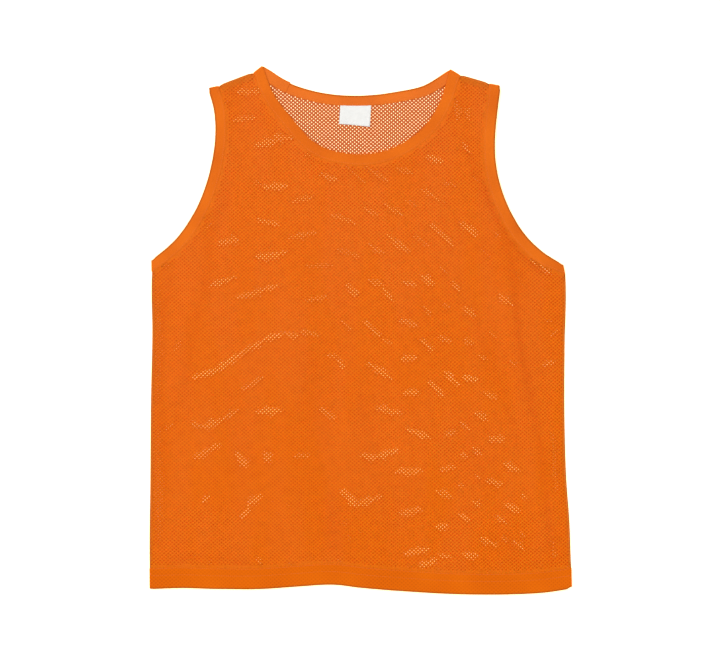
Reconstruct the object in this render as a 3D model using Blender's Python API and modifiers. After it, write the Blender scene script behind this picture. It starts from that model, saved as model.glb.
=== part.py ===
"""A training bib laid flat: a sleeveless open-mesh vest with bound neck and armholes and a doubled hem.

Two panels of mesh lie on each other, face up. A folded tape goes once round the neck and once round
each armhole, and the hem goes once round the bottom; each of these turns over at the fold between
front and back. X runs across the bib, Y from the hem to the shoulders, Z up from the table.
"""

import math

import bmesh
import bpy
import numpy as np
from mathutils import Vector
from mathutils.geometry import delaunay_2d_cdt

MM = 0.001

# Cloth, in millimetres.
PANEL_WALL = 1.0
TAPE_WALL = 1.6
LABEL_WALL = 1.0
SEAM_GAP = 0.3
NECK_TAPE_FRONT = 15.0
NECK_TAPE_BACK = 13.5
ARMHOLE_TAPE = 15.0
HEM_DEPTH = 27.5

# Heights of each layer's middle above the table, in millimetres.
BACK_PANEL_LEVEL = PANEL_WALL / 2
FRONT_PANEL_LEVEL = PANEL_WALL + SEAM_GAP + PANEL_WALL / 2
BACK_TAPE_LEVEL = TAPE_WALL / 2
FRONT_TAPE_LEVEL = 2.9
FOLD_RADIUS = (FRONT_TAPE_LEVEL - BACK_TAPE_LEVEL) / 2
FOLD_LEVEL = (FRONT_TAPE_LEVEL + BACK_TAPE_LEVEL) / 2
LABEL_LEVEL = PANEL_WALL + SEAM_GAP + LABEL_WALL / 2
LABEL_CURL = 0.7

# How finely the cloth is divided, in millimetres.
TAPE_STEP = 13.0
PANEL_STEP = 17.0
BACK_PANEL_STEP = 40.0
EDGE_STEP = 13.0
FOLD_STEPS = 6
FOLD_EASE = 26.0

# Free edges of the cloth, from the middle of the bib. Columns: across, up.
FRONT_NECK = [
    (-130.2, 349.8),
    (-117.5, 317.5),
    (-90.4, 280.5),
    (-58.0, 247.6),
    (-20.0, 235.2),
    (18.0, 235.2),
    (55.0, 248.3),
    (88.0, 275.0),
    (107.5, 309.0),
    (118.3, 345.2),
]
BACK_NECK = [
    (-130.2, 349.8),
    (-101.0, 331.4),
    (-60.0, 317.4),
    (-5.0, 311.8),
    (50.0, 317.4),
    (84.0, 325.4),
    (118.3, 345.2),
]
ARMHOLE_LEFT = [
    (-203.0, 320.5),
    (-195.6, 294.0),
    (-193.4, 270.0),
    (-195.6, 238.0),
    (-203.9, 200.0),
    (-219.8, 160.0),
    (-247.2, 120.0),
    (-277.0, 94.0),
]
ARMHOLE_RIGHT = [
    (185.3, 323.8),
    (181.2, 292.0),
    (177.9, 256.0),
    (179.0, 222.0),
    (185.4, 191.0),
    (199.0, 157.0),
    (216.5, 128.5),
    (240.0, 104.5),
    (264.0, 87.5),
]
HEM_EDGE = [
    (-279.2, -343.6),
    (-240.0, -342.2),
    (-190.0, -343.5),
    (-134.0, -343.5),
    (-85.0, -340.3),
    (-36.0, -337.8),
    (0.0, -341.9),
    (50.0, -345.9),
    (130.0, -350.4),
    (195.0, -350.7),
    (250.0, -347.6),
    (279.2, -343.2),
]
SIDE_LEFT = [
    (-277.4, 66.0),
    (-276.6, 0.0),
    (-278.4, -93.0),
    (-279.2, -200.0),
    (-280.2, -304.0),
]
SIDE_RIGHT = [
    (271.5, 62.0),
    (270.1, -20.0),
    (269.9, -120.0),
    (272.3, -199.0),
    (276.4, -255.0),
    (278.2, -304.0),
]

# From the free edge to the seam along the fold of each tape. Columns: across, up.
FOLDS = {
    "neck_left": (-12.0, -9.3),
    "neck_right": (14.0, -8.4),
    "shoulder_left": (14.4, 3.2),
    "shoulder_right": (-14.5, 2.9),
    "underarm_left": (0.3, -17.0),
    "underarm_right": (6.0, -13.6),
    "side_left": (-0.2, 27.5),
    "side_right": (-0.4, 27.5),
}

# Corners of the neck label. Columns: across, up.
LABEL_CORNERS = {
    "top_left": (-27.2, 297.2),
    "top_right": (14.0, 297.6),
    "bottom_left": (-28.8, 273.9),
    "bottom_right": (12.2, 270.9),
}

# Soft folds of the front. Columns: top end across and up, bottom end across and up, half width, height.
SOFT_FOLDS = [
    (-21.0, -5.0, -18.0, -316.0, 17.0, 2.0),
    (-92.0, 130.0, -97.0, -300.0, 26.0, 1.3),
    (-204.0, 95.0, -196.0, -300.0, 28.0, 1.2),
    (62.0, 10.0, 84.0, -300.0, 32.0, 1.4),
    (142.0, 190.0, 226.0, -130.0, 26.0, 1.4),
    (84.0, 190.0, 150.0, -40.0, 24.0, 1.1),
]
SOFT_FOLD_FADE = 45.0
TAPE_LIFT_REACH = 26.0
CORNER_REACH = 14.0
FOLD_EDGE_REACH = 30.0
SHOULDER_CROWN = 1.5


def clear_scene():
    for obj in list(bpy.data.objects):
        bpy.data.objects.remove(obj, do_unlink=True)


def cloth_material(name, colour, roughness):
    material = bpy.data.materials.new(name)
    material.use_nodes = True
    shader = material.node_tree.nodes["Principled BSDF"]
    shader.inputs["Base Color"].default_value = (*colour, 1.0)
    shader.inputs["Roughness"].default_value = roughness
    shader.inputs["Metallic"].default_value = 0.0
    return material


def smooth_curve(rows, step):
    """Points about a step apart on a smooth curve through the rows."""
    knots_xy = np.array(rows, float)
    lengths = np.hypot(*np.diff(knots_xy, axis=0).T)
    knots = np.concatenate([[0.0], np.cumsum(lengths)])
    slopes = np.gradient(knots_xy, knots, axis=0)
    at = np.linspace(0.0, knots[-1], max(2, round(knots[-1] / step)) + 1)
    span = np.clip(np.searchsorted(knots, at, side="right") - 1, 0, len(lengths) - 1)
    size = lengths[span][:, None]
    t = (at - knots[span])[:, None] / size
    start = knots_xy[span] * (1 + 2 * t) * (1 - t) ** 2 + slopes[span] * size * t * (1 - t) ** 2
    end = knots_xy[span + 1] * t**2 * (3 - 2 * t) + slopes[span + 1] * size * t**2 * (t - 1)
    return start + end


def ease(t):
    t = np.clip(t, 0.0, 1.0)
    return t * t * (3 - 2 * t)


def normals_of(curve, turn):
    """Unit vectors square to the curve, to its left where turn is 1 and to its right where it is -1."""
    along = np.gradient(curve, axis=0)
    along /= np.hypot(along[:, 0], along[:, 1])[:, None]
    return turn * np.stack([-along[:, 1], along[:, 0]], axis=1)


def seam_edge(free, width, turn, first_fold, last_fold):
    """The sewn edge of a tape: a width from its free edge, eased into the fold line at each end."""
    walked = np.concatenate([[0.0], np.cumsum(np.hypot(*np.diff(free, axis=0).T))])
    across = normals_of(free, turn) * width
    from_first = (1 - ease(walked / FOLD_EASE))[:, None]
    from_last = (1 - ease((walked[-1] - walked) / FOLD_EASE))[:, None]
    across = across * (1 - from_first) + np.array(first_fold) * from_first
    across = across * (1 - from_last) + np.array(last_fold) * from_last
    return free + across


def fold_stations(free, seam, outward):
    """Stations that carry a tape over from the front level to the back level, bulging outward."""
    stations = []
    for k in range(1, FOLD_STEPS):
        angle = math.pi * k / FOLD_STEPS
        shift = outward * FOLD_RADIUS * math.sin(angle)
        level = FOLD_LEVEL + FOLD_RADIUS * math.cos(angle)
        stations.append(((*(free + shift), level), (*(seam + shift), level)))
    return stations


def outward_from(free_end, fold, towards):
    """Unit vector square to the fold line, away from where the tape comes from."""
    square = np.array([-fold[1], fold[0]]) / math.hypot(*fold)
    return -square if np.dot(square, towards - free_end) > 0 else square


def ring_stations(front_free, front_seam, back_free, back_seam):
    """Stations of a tape that goes along the front, over the fold, along the back and over again."""
    last_turn = outward_from(front_free[-1], front_seam[-1] - front_free[-1], front_free[-2])
    first_turn = outward_from(front_free[0], front_seam[0] - front_free[0], front_free[1])
    front = [((*f, FRONT_TAPE_LEVEL), (*s, FRONT_TAPE_LEVEL)) for f, s in zip(front_free, front_seam)]
    back = [((*f, BACK_TAPE_LEVEL), (*s, BACK_TAPE_LEVEL)) for f, s in zip(back_free, back_seam)]
    over = fold_stations(front_free[-1], front_seam[-1], last_turn)
    under = fold_stations(front_free[0], front_seam[0], first_turn)
    return front + over + back[::-1] + under[::-1]


def add_object(name, vertices, faces, wall, material, collection):
    """An open cloth surface, in millimetres, given its wall by Solidify."""
    mesh = bpy.data.meshes.new(name)
    mesh.from_pydata([Vector(v) * MM for v in vertices], [], faces)
    shape = bmesh.new()
    shape.from_mesh(mesh)
    bmesh.ops.recalc_face_normals(shape, faces=shape.faces)
    shape.to_mesh(mesh)
    shape.free()
    mesh.materials.append(material)
    mesh.shade_smooth()
    obj = bpy.data.objects.new(name, mesh)
    collection.objects.link(obj)
    thicken = obj.modifiers.new("wall", "SOLIDIFY")
    thicken.thickness = wall * MM
    thicken.offset = 0.0
    thicken.use_even_offset = True
    return obj


def add_ring(name, stations, material, collection):
    vertices = [point for station in stations for point in station]
    count = len(stations)
    faces = []
    for i in range(count):
        j = (i + 1) % count
        faces.append((2 * i, 2 * j, 2 * j + 1, 2 * i + 1))
    return add_object(name, vertices, faces, TAPE_WALL, material, collection)


def inside(points, outline):
    """Which of the points lie inside the closed outline."""
    found = np.zeros(len(points), bool)
    for (x1, y1), (x2, y2) in zip(outline, np.roll(outline, -1, axis=0)):
        crosses = (points[:, 1] < y1) != (points[:, 1] < y2)
        if y1 != y2:
            reach = x1 + (points[:, 1] - y1) * (x2 - x1) / (y2 - y1)
            found ^= crosses & (points[:, 0] < reach)
    return found


def distance_to(points, line):
    """How far each point lies from an open line of straight pieces."""
    nearest = np.full(len(points), np.inf)
    for a, b in zip(line[:-1], line[1:]):
        run = b - a
        t = np.clip((points - a) @ run / (run @ run), 0.0, 1.0)
        nearest = np.minimum(nearest, np.hypot(*(points - a - t[:, None] * run).T))
    return nearest


def soft_folds_at(points):
    """Height of the front's soft folds at each point."""
    height = np.zeros(len(points))
    for top_x, top_y, low_x, low_y, half_width, crest in SOFT_FOLDS:
        top = np.array([top_x, top_y])
        run = np.array([low_x, low_y]) - top
        length = math.hypot(*run)
        along = (points - top) @ run / length
        across = np.hypot(*(points - top - np.outer(along / length, run)).T)
        fade = ease(along / SOFT_FOLD_FADE) * ease((length - along) / SOFT_FOLD_FADE)
        height += crest * fade * np.exp(-((across / half_width) ** 2))
    return height


def front_levels(points, taped, plain):
    """Middle of the front: lifted to the tapes at its bound edges, down on the back elsewhere."""
    to_tape = np.min([distance_to(points, line) for line in taped], axis=0)
    to_plain = np.min([distance_to(points, line) for line in plain], axis=0)
    lift = (FRONT_TAPE_LEVEL - FRONT_PANEL_LEVEL) * (1 - ease(to_tape / TAPE_LIFT_REACH))
    lift *= ease(to_plain / CORNER_REACH)
    to_edge = np.minimum(to_tape, to_plain)
    return FRONT_PANEL_LEVEL + lift + soft_folds_at(points) * ease(to_edge / FOLD_EDGE_REACH)


def panel_mesh(outline, step):
    """Points and triangles that fill an outline with an even staggered lattice."""
    low, high = outline.min(axis=0), outline.max(axis=0)
    row_step = step * math.sqrt(3) / 2
    lattice = []
    for row, y in enumerate(np.arange(low[1] + row_step / 2, high[1], row_step)):
        across = np.arange(low[0] + step * (row % 2) / 2, high[0], step)
        lattice.append(np.stack([across, np.full(len(across), y)], axis=1))
    lattice = np.concatenate(lattice)
    closed = np.vstack([outline, outline[:1]])
    lattice = lattice[inside(lattice, outline) & (distance_to(lattice, closed) > step * 0.55)]
    points = [Vector(p) for p in np.vstack([outline, lattice])]
    keep_inside = 1
    filled = delaunay_2d_cdt(points, [], [list(range(len(outline)))], keep_inside, 1e-4)
    return np.array([tuple(v) for v in filled[0]]), filled[2]


def add_panel(name, outline, step, edges, material, collection):
    """A panel flat on the table or, where its bound and plain edges are given, on top of the other."""
    flat, faces = panel_mesh(outline, step)
    levels = front_levels(flat, *edges) if edges else np.full(len(flat), BACK_PANEL_LEVEL)
    vertices = np.column_stack([flat, levels])
    return add_object(name, vertices, faces, PANEL_WALL, material, collection)


def shoulder_edge(start, end):
    """The shoulder seam's edge between two tapes, standing level with their rounded folds."""
    run = end - start
    square = np.array([-run[1], run[0]]) / math.hypot(*run)
    crown = [start + run * t + square * SHOULDER_CROWN for t in (0.06, 0.35, 0.65, 0.94)]
    return np.array([start, *crown, end])


def without_repeats(points):
    far = np.hypot(*(points - np.roll(points, 1, axis=0)).T) > 0.5
    return points[far]


def build_tape(name, rows_front, rows_back, widths, folds, turn, material, collection):
    """A tape ring. Gives the sewn edges of its front and back, moved out by the seam gap."""
    free_front = smooth_curve(rows_front, TAPE_STEP)
    free_back = smooth_curve(rows_back, TAPE_STEP)
    first_fold, last_fold = FOLDS[folds[0]], FOLDS[folds[1]]
    front = seam_edge(free_front, widths[0], turn, first_fold, last_fold)
    back = seam_edge(free_back, widths[1], turn, first_fold, last_fold)
    add_ring(name, ring_stations(free_front, front, free_back, back), material, collection)
    gap_front = front + SEAM_GAP * normals_of(front, turn)
    gap_back = back + SEAM_GAP * normals_of(back, turn)
    return gap_front, gap_back


def add_label(material, collection):
    """The neck label: a slightly skewed oblong whose lower right corner lifts."""
    corners = {key: np.array(corner) for key, corner in LABEL_CORNERS.items()}
    columns, rows = 7, 5
    vertices = []
    for j in range(rows):
        v = j / (rows - 1)
        for i in range(columns):
            u = i / (columns - 1)
            top = corners["top_left"] * (1 - u) + corners["top_right"] * u
            bottom = corners["bottom_left"] * (1 - u) + corners["bottom_right"] * u
            level = LABEL_LEVEL + LABEL_CURL * (v**2) * (0.35 + 0.65 * u**2)
            vertices.append((*(top * (1 - v) + bottom * v), level))
    faces = []
    for j in range(rows - 1):
        for i in range(columns - 1):
            k = j * columns + i
            faces.append((k, k + columns, k + columns + 1, k + 1))
    return add_object("neck_label", vertices, faces, LABEL_WALL, material, collection)


def build_bib():
    collection = bpy.data.collections.new("training_bib")
    bpy.context.scene.collection.children.link(collection)
    mesh_cloth = cloth_material("mesh_cloth", (0.80, 0.14, 0.01), 0.8)
    tape_cloth = cloth_material("tape_cloth", (0.82, 0.17, 0.02), 0.75)
    hem_cloth = cloth_material("hem_cloth", (0.80, 0.14, 0.01), 0.8)
    label_cloth = cloth_material("label_cloth", (0.80, 0.80, 0.77), 0.6)

    neck_front, neck_back = build_tape(
        "neck_binding", FRONT_NECK, BACK_NECK, (NECK_TAPE_FRONT, NECK_TAPE_BACK),
        ("neck_left", "neck_right"), -1, tape_cloth, collection,
    )
    left, _ = build_tape(
        "armhole_binding_left", ARMHOLE_LEFT, ARMHOLE_LEFT, (ARMHOLE_TAPE, ARMHOLE_TAPE),
        ("shoulder_left", "underarm_left"), 1, tape_cloth, collection,
    )
    right, _ = build_tape(
        "armhole_binding_right", ARMHOLE_RIGHT, ARMHOLE_RIGHT, (ARMHOLE_TAPE, ARMHOLE_TAPE),
        ("shoulder_right", "underarm_right"), -1, tape_cloth, collection,
    )
    hem, _ = build_tape(
        "hem_band", HEM_EDGE, HEM_EDGE, (HEM_DEPTH, HEM_DEPTH),
        ("side_left", "side_right"), 1, hem_cloth, collection,
    )
    add_label(label_cloth, collection)

    side_left = smooth_curve(SIDE_LEFT, EDGE_STEP)
    side_right = smooth_curve(SIDE_RIGHT, EDGE_STEP)
    for name, neck in (("front_panel", neck_front), ("back_panel", neck_back)):
        shoulder_left = shoulder_edge(left[0], neck[0])
        shoulder_right = shoulder_edge(neck[-1], right[0])
        plain = [side_left, side_right, shoulder_left, shoulder_right]
        taped = [neck, left, right, hem]
        upper = [right[::-1], shoulder_right[-2:0:-1], neck[::-1], shoulder_left[-2:0:-1], left]
        outline = without_repeats(np.vstack([hem, side_right[::-1], *upper, side_left]))
        if name == "front_panel":
            add_panel(name, outline, PANEL_STEP, (taped, plain), mesh_cloth, collection)
        else:
            add_panel(name, outline, BACK_PANEL_STEP, None, mesh_cloth, collection)


clear_scene()
build_bib()
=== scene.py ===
import math

import bpy
import numpy as np
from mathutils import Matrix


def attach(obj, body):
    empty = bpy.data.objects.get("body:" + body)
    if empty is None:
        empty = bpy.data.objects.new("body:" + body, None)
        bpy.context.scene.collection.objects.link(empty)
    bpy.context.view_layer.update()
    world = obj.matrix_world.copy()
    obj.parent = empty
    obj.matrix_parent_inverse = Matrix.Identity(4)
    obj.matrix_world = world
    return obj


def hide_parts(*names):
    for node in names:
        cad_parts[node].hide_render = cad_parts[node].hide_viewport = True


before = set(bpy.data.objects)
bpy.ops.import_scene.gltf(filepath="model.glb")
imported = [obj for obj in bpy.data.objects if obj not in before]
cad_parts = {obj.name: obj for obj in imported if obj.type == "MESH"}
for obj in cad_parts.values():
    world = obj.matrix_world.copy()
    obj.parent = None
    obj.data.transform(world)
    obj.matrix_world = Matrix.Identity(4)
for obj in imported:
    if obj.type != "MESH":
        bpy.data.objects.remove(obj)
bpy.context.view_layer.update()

# ---- Camera, table and light -------------------------------------------------------------------
# The bib lies on a plain white table and is seen from straight above. A wide white ceiling gives
# most of the light; a large soft lamp from the upper left shows the folds and the knit, a weaker
# one fills in from the lower right, and the table sends a little warm light up through the holes.
MM = 0.001
POINT = 1.33  # millimetres of cloth to one point of the layout
LAYOUT_WIDTH, LAYOUT_HEIGHT = 720, 660  # points
LAYOUT_MIDDLE = (360.75, 330.2)  # where the middle of the bib stands on the layout
LENS, SENSOR = 100.0, 36.0
CAMERA_HEIGHT = LAYOUT_WIDTH * POINT * MM * LENS / SENSOR
CLOTH_TOP = 3 * MM  # the layout's scale holds at this height
CEILING_STRENGTH = 0.82
TABLE_HALF, TABLE_LEVEL = 4.0, -0.1 * MM  # metres
TABLE_COLOUR, TABLE_GRAIN = (0.93, 0.93, 0.93), (0.94, 0.94, 0.94)
TABLE_GLOW, GLOW_COLOUR = 1.1, (1.0, 0.58, 0.10, 1.0)

# Columns: name, place in metres, width in metres, power in watts.
LAMPS = [
    ("window_lamp", (-2.6, 2.2, 3.0), 2.2, 112.0),
    ("front_lamp", (2.4, -2.2, 3.6), 2.6, 60.0),
]


def on_cloth(column, row):
    """A point of the layout as millimetres across and up from the middle of the bib."""
    return (column - LAYOUT_MIDDLE[0]) * POINT, (LAYOUT_MIDDLE[1] - row) * POINT


def placed(name, data):
    """A new object in the scene."""
    made = bpy.data.objects.new(name, data)
    bpy.context.scene.collection.objects.link(made)
    return made


def plug(tree, node, key, value):
    """Sets or links one input: by its number, as _0, or by its name, with _ for each space."""
    slot = node.inputs[int(key[1:]) if key[1:].isdigit() else key.replace("_", " ")]
    if isinstance(value, Value):
        tree.links.new(value.socket, slot)
    else:
        slot.default_value = value


class Value:
    """A number that changes over a surface; sums on it add Math nodes."""

    def __init__(self, tree, socket):
        self.tree, self.socket = tree, socket

    def math(self, operation, *terms):
        node = self.tree.nodes.new("ShaderNodeMath")
        node.operation = operation
        for place, term in enumerate(terms):
            plug(self.tree, node, f"_{place}", term)
        return Value(self.tree, node.outputs[0])

    def __add__(self, other):
        return self.math("ADD", self, other)

    def __sub__(self, other):
        return self.math("SUBTRACT", self, other)

    def __rsub__(self, other):
        return self.math("SUBTRACT", other, self)

    def __mul__(self, other):
        return self.math("MULTIPLY", self, other)

    def __truediv__(self, other):
        return self.math("DIVIDE", self, other)

    __radd__, __rmul__ = __add__, __mul__

    def to(self, operation, *terms):
        return self.math(operation, self, *terms)


class Finish:
    """A cloth, thread or table finish: one Principled shader and the nodes that feed it."""

    def __init__(self, name, **fixed):
        self.material = bpy.data.materials.new(name)
        self.material.use_nodes = True
        self.tree = self.material.node_tree
        self.shader = self.tree.nodes["Principled BSDF"]
        self.feed(**fixed)

    def node(self, kind, settings=None, output=0, **inputs):
        """Adds a node: its settings first, then the values or links of its sockets."""
        node = self.tree.nodes.new("ShaderNode" + kind)
        for key, value in (settings or {}).items():
            setattr(node, key, value)
        for key, value in inputs.items():
            plug(self.tree, node, key, value)
        return Value(self.tree, node.outputs[output])

    def feed(self, **inputs):
        """Sets or links inputs of the shader."""
        for key, value in inputs.items():
            plug(self.tree, self.shader, key, value)

    def parts(self, place):
        """The first two numbers of a place."""
        split = self.node("SeparateXYZ", _0=place).socket.node
        return [Value(self.tree, socket) for socket in split.outputs[:2]]

    def mix(self, share, low, high):
        """A colour between two colours."""
        low, high = ((*c, 1.0) if isinstance(c, tuple) else c for c in (low, high))
        settings = {"data_type": "RGBA", "clamp_factor": True}
        return self.node("Mix", settings, 2, _0=share, _6=low, _7=high)

    def between(self, value, low, high):
        """A smooth step from 0 at low to 1 at high."""
        settings = {"interpolation_type": "SMOOTHSTEP"}
        return self.node("MapRange", settings, Value=value, From_Min=low, From_Max=high)

    def noise(self, place, scale, detail=2.0):
        return self.node("TexNoise", Vector=place, Scale=scale, Detail=detail, Roughness=0.55)

    def mark(self, name):
        """A number that is stored at each corner of the mesh."""
        return self.node("Attribute", {"attribute_name": name}, 2)

    def relief(self, height, depth):
        """A bump of the given depth in metres."""
        self.feed(Normal=self.node("Bump", Strength=1.0, Distance=depth, Height=height))

    def let_through(self, share, colour):
        """Thin cloth lets part of the light through, tinted by its yarn."""
        own = Value(self.tree, self.shader.outputs[0])
        through = self.node("BsdfTranslucent", Color=(*colour, 1.0))
        both = self.node("MixShader", _0=share, _1=own, _2=through)
        plug(self.tree, self.tree.nodes["Material Output"], "Surface", both)


bpy.context.scene.view_settings.view_transform = "Standard"
bpy.context.scene.view_settings.look = "None"

camera = placed("camera", bpy.data.cameras.new("camera"))
camera.data.lens, camera.data.sensor_width = LENS, SENSOR
middle_x, middle_y = on_cloth(LAYOUT_WIDTH / 2, LAYOUT_HEIGHT / 2)
camera.location = (middle_x * MM, middle_y * MM, CAMERA_HEIGHT + CLOTH_TOP)
bpy.context.scene.camera = camera

world = bpy.data.worlds.new("ceiling")
bpy.context.scene.world = world
world.use_nodes = True
world.node_tree.nodes["Background"].inputs["Color"].default_value = (1.0, 1.0, 1.0, 1.0)
world.node_tree.nodes["Background"].inputs["Strength"].default_value = CEILING_STRENGTH

for name, (x, y, z), size, power in LAMPS:
    lamp = placed(name, bpy.data.lights.new(name, "AREA"))
    lamp.data.size, lamp.data.energy = size, power
    lamp.location = (x, y, z)
    lamp.rotation_euler = (math.atan2(math.hypot(x, y), z), 0.0, math.atan2(y, x) + math.pi / 2)

table_paint = Finish(
    "table_paint", Roughness=0.9, Specular_IOR_Level=0.1, Emission_Strength=TABLE_GLOW,
    Emission_Color=GLOW_COLOUR,
)
table_grain = table_paint.noise(table_paint.node("TexCoord", None, 3), 30.0)
table_paint.feed(Base_Color=table_paint.mix(table_grain, TABLE_COLOUR, TABLE_GRAIN))
table_corners = [
    (x * TABLE_HALF, y * TABLE_HALF, TABLE_LEVEL) for x, y in ((-1, -1), (1, -1), (1, 1), (-1, 1))
]
table_mesh = bpy.data.meshes.new("table")
table_mesh.from_pydata(table_corners, [], [(0, 1, 2, 3)])
table_mesh.materials.append(table_paint.material)
table = placed("table", table_mesh)

# ---- Back panel --------------------------------------------------------------------------------
# One panel of knitted polyester mesh, cut with a shallow neck. It lies flat on the table and its
# inside shows through the neck opening. Its holes are real: six-sided, in staggered rows.
HOLE_PITCH, ROW_PITCH = 5.45, 2.4
HOLE_CORNERS = np.array(
    [(0.86, 0.0), (0.46, 0.77), (-0.46, 0.77), (-0.86, 0.0), (-0.46, -0.77), (0.46, -0.77)]
)
LAY_SPAN = 760.0  # millimetres of cloth to the whole UV square
EDGE_STEP = 7.0  # between the points of a panel's outline
LEAST_STEP = 0.4  # points of an outline that lie closer than this are left out
TUCK = 2.2  # how far a panel's cut edge runs into its binding
NECK_TAPE_FRONT, NECK_TAPE_BACK, ARMHOLE_TAPE, HEM_DEPTH = 15.0, 13.5, 15.0, 27.5
FOLD_EASE = 26.0  # along a tape, from its fold to where its sewn edge runs free of it
SHOULDER_CROWN = 1.5  # how far a shoulder line bows out
BACK_LEVEL = 0.5
BACK_SLIDE, FRONT_SLIDE = (0.0, -0.7 * ROW_PITCH), (0.0, 0.3 * ROW_PITCH)  # between the streaks
BACK_HOLE_SIZE = 0.94  # the back lies less stretched than the front
NET_MARGIN, NEAR_EDGE = 9, 6.5  # how far out the knit is laid, and how far out it is kept
HOLE_TO_EDGE, CORNER_TO_EDGE = 1.5, 0.25  # a hole is open from this far inside the outline
LEAST_FACE = 0.02  # twice the area of the smallest face kept, in square millimetres

# Colours of the mesh: its own; a painted shade at the edges of its holes; a lighter tone on top of
# its strands, partly a painted highlight.
BACK_SHADES = (0.62, 0.123, 0.0), (0.44, 0.064, 0.003), (0.76, 0.188, 0.015)
FRONT_SHADES = (0.72, 0.192, 0.0), (0.56, 0.045, 0.001), (0.87, 0.26, 0.010)
YARN_GLOW = (0.80, 0.232, 0.008)  # of the light that comes through it
# Painted light along the strips where the knit is shut, by the tapes and below the shoulders.
# Painted shade on the strands where the holes of both layers meet.
STREAK_PAINTED_SHADE, SHUT_STRIP_PAINTED_LIGHT = (0.36, 0.028, 0.001), (1.0, 0.175, 0.006)
# Painted shade deep in the creases and painted light high on their ridges.
CREASE_PAINTED_SHADE, RIDGE_PAINTED_LIGHT = (0.45, 0.060, 0.002), (0.94, 0.22, 0.012)
# A darker colour for the back in the neck opening.
NECK_DULL = (0.25, 0.088, 0.045)
NECK_OVAL = (-6.0, 333.0, 116.0, 96.0)  # middle across and up, half width, half height

# Free edges of the bindings and the hem, in millimetres. Columns: across, up.
BACK_NECK = [
    (-130.2, 350.4), (-101.0, 331.4), (-60.0, 317.4), (-5.0, 311.8),
    (50.0, 317.4), (84.0, 325.4), (118.2, 346.0),
]
ARMHOLE_LEFT = [
    (-203.0, 320.5), (-195.6, 294.0), (-193.4, 270.0), (-195.6, 238.0),
    (-203.9, 200.0), (-219.8, 160.0), (-247.2, 120.0), (-277.0, 94.0),
]
ARMHOLE_RIGHT = [
    (185.3, 323.8), (181.2, 292.0), (177.9, 256.0), (179.0, 222.0), (185.4, 191.0),
    (199.0, 157.0), (216.5, 128.5), (240.0, 104.8), (267.2, 87.2),
]
HEM_EDGE = [
    (-279.2, -343.6), (-240.0, -342.2), (-190.0, -343.5), (-134.0, -343.5), (-85.0, -340.3),
    (-36.0, -337.8), (0.0, -341.9), (50.0, -345.9), (130.0, -350.4), (195.0, -350.7),
    (250.0, -347.6), (279.2, -343.2),
]
SIDE_LEFT = [(-277.4, 66.0), (-276.6, 0.0), (-278.4, -93.0), (-279.2, -200.0), (-280.2, -304.0)]
SIDE_RIGHT = [
    (271.5, 62.0), (270.1, -20.0), (269.9, -120.0), (272.3, -199.0), (276.4, -255.0),
    (278.2, -304.0),
]

# From the free edge to the seam along the fold of each tape. Columns: across, up.
NECK_FOLDS = ((-12.0, -9.3), (14.0, -8.4))
LEFT_FOLDS = ((14.4, 3.2), (0.3, -17.0))
RIGHT_FOLDS = ((-14.5, 2.9), (3.3, -13.4))
HEM_FOLDS = ((-0.2, 27.5), (-0.4, 27.5))


def summed(lengths):
    """How far along a line each of its points is, from the length of each step."""
    return np.concatenate([[0.0], np.cumsum(lengths)])


def smooth_curve(rows, step):
    """Points about a step apart on a smooth curve through the rows."""
    through = np.array(rows, float)
    lengths = np.hypot(*np.diff(through, axis=0).T)
    knots = summed(lengths)
    slopes = np.gradient(through, knots, axis=0)
    at = np.linspace(0.0, knots[-1], max(2, round(knots[-1] / step)) + 1)
    span = np.clip(np.searchsorted(knots, at, side="right") - 1, 0, len(lengths) - 1)
    size = lengths[span][:, None]
    t = (at - knots[span])[:, None] / size
    start = through[span] * (1 + 2 * t) * (1 - t) ** 2 + slopes[span] * size * t * (1 - t) ** 2
    end = through[span + 1] * t**2 * (3 - 2 * t) + slopes[span + 1] * size * t**2 * (t - 1)
    return start + end


def ease(t):
    t = np.clip(t, 0.0, 1.0)
    return t * t * (3 - 2 * t)


def walked_along(curve):
    return summed(np.hypot(*np.diff(curve, axis=0)[:, :2].T))


def square_to(curve, turn):
    """Unit vectors square to a curve, to its left where turn is 1 and its right where it is -1."""
    along = np.gradient(curve, axis=0)
    along /= np.hypot(along[:, 0], along[:, 1])[:, None]
    return turn * np.stack([-along[:, 1], along[:, 0]], axis=1)


def seam_line(free, width, turn, folds):
    """The sewn edge of a tape: a width from its free edge, eased into the fold line at each end."""
    walked = walked_along(free)
    across = square_to(free, turn) * width
    for fold, from_end in zip(folds, (walked, walked[-1] - walked)):
        share = (1 - ease(from_end / FOLD_EASE))[:, None]
        across = across * (1 - share) + np.array(fold) * share
    return free + across


def tucked(free, seam):
    """The panel's cut edge: a little way into the tape from the tape's sewn edge."""
    across = free - seam
    return seam + across / np.hypot(*across.T)[:, None] * TUCK


def shoulder_line(start, end):
    run = end - start
    square = np.array([-run[1], run[0]]) / math.hypot(*run)
    crown = [start + run * t + square * SHOULDER_CROWN * ease(5 * t) * ease(5 - 5 * t)
             for t in np.linspace(0.06, 0.94, 9)]
    return np.array([start, *crown, end])


def inside(points, outline):
    found = np.zeros(len(points), bool)
    for (x1, y1), (x2, y2) in zip(outline, np.roll(outline, -1, axis=0)):
        if y1 != y2:
            crosses = (points[:, 1] < y1) != (points[:, 1] < y2)
            found ^= crosses & (points[:, 0] < x1 + (points[:, 1] - y1) * (x2 - x1) / (y2 - y1))
    return found


def nearest_on(points, line):
    """The nearest point of a line of straight pieces to each point, and how far off it is."""
    best, place = np.full(len(points), np.inf), np.array(points, float)
    for a, b in zip(line[:-1], line[1:]):
        run = b - a
        t = np.clip((points - a) @ run / max(run @ run, 1e-9), 0.0, 1.0)
        spot = a + t[:, None] * run
        far = np.hypot(*(points - spot).T)
        nearer = far < best
        best[nearer], place[nearer] = far[nearer], spot[nearer]
    return place, best


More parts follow.
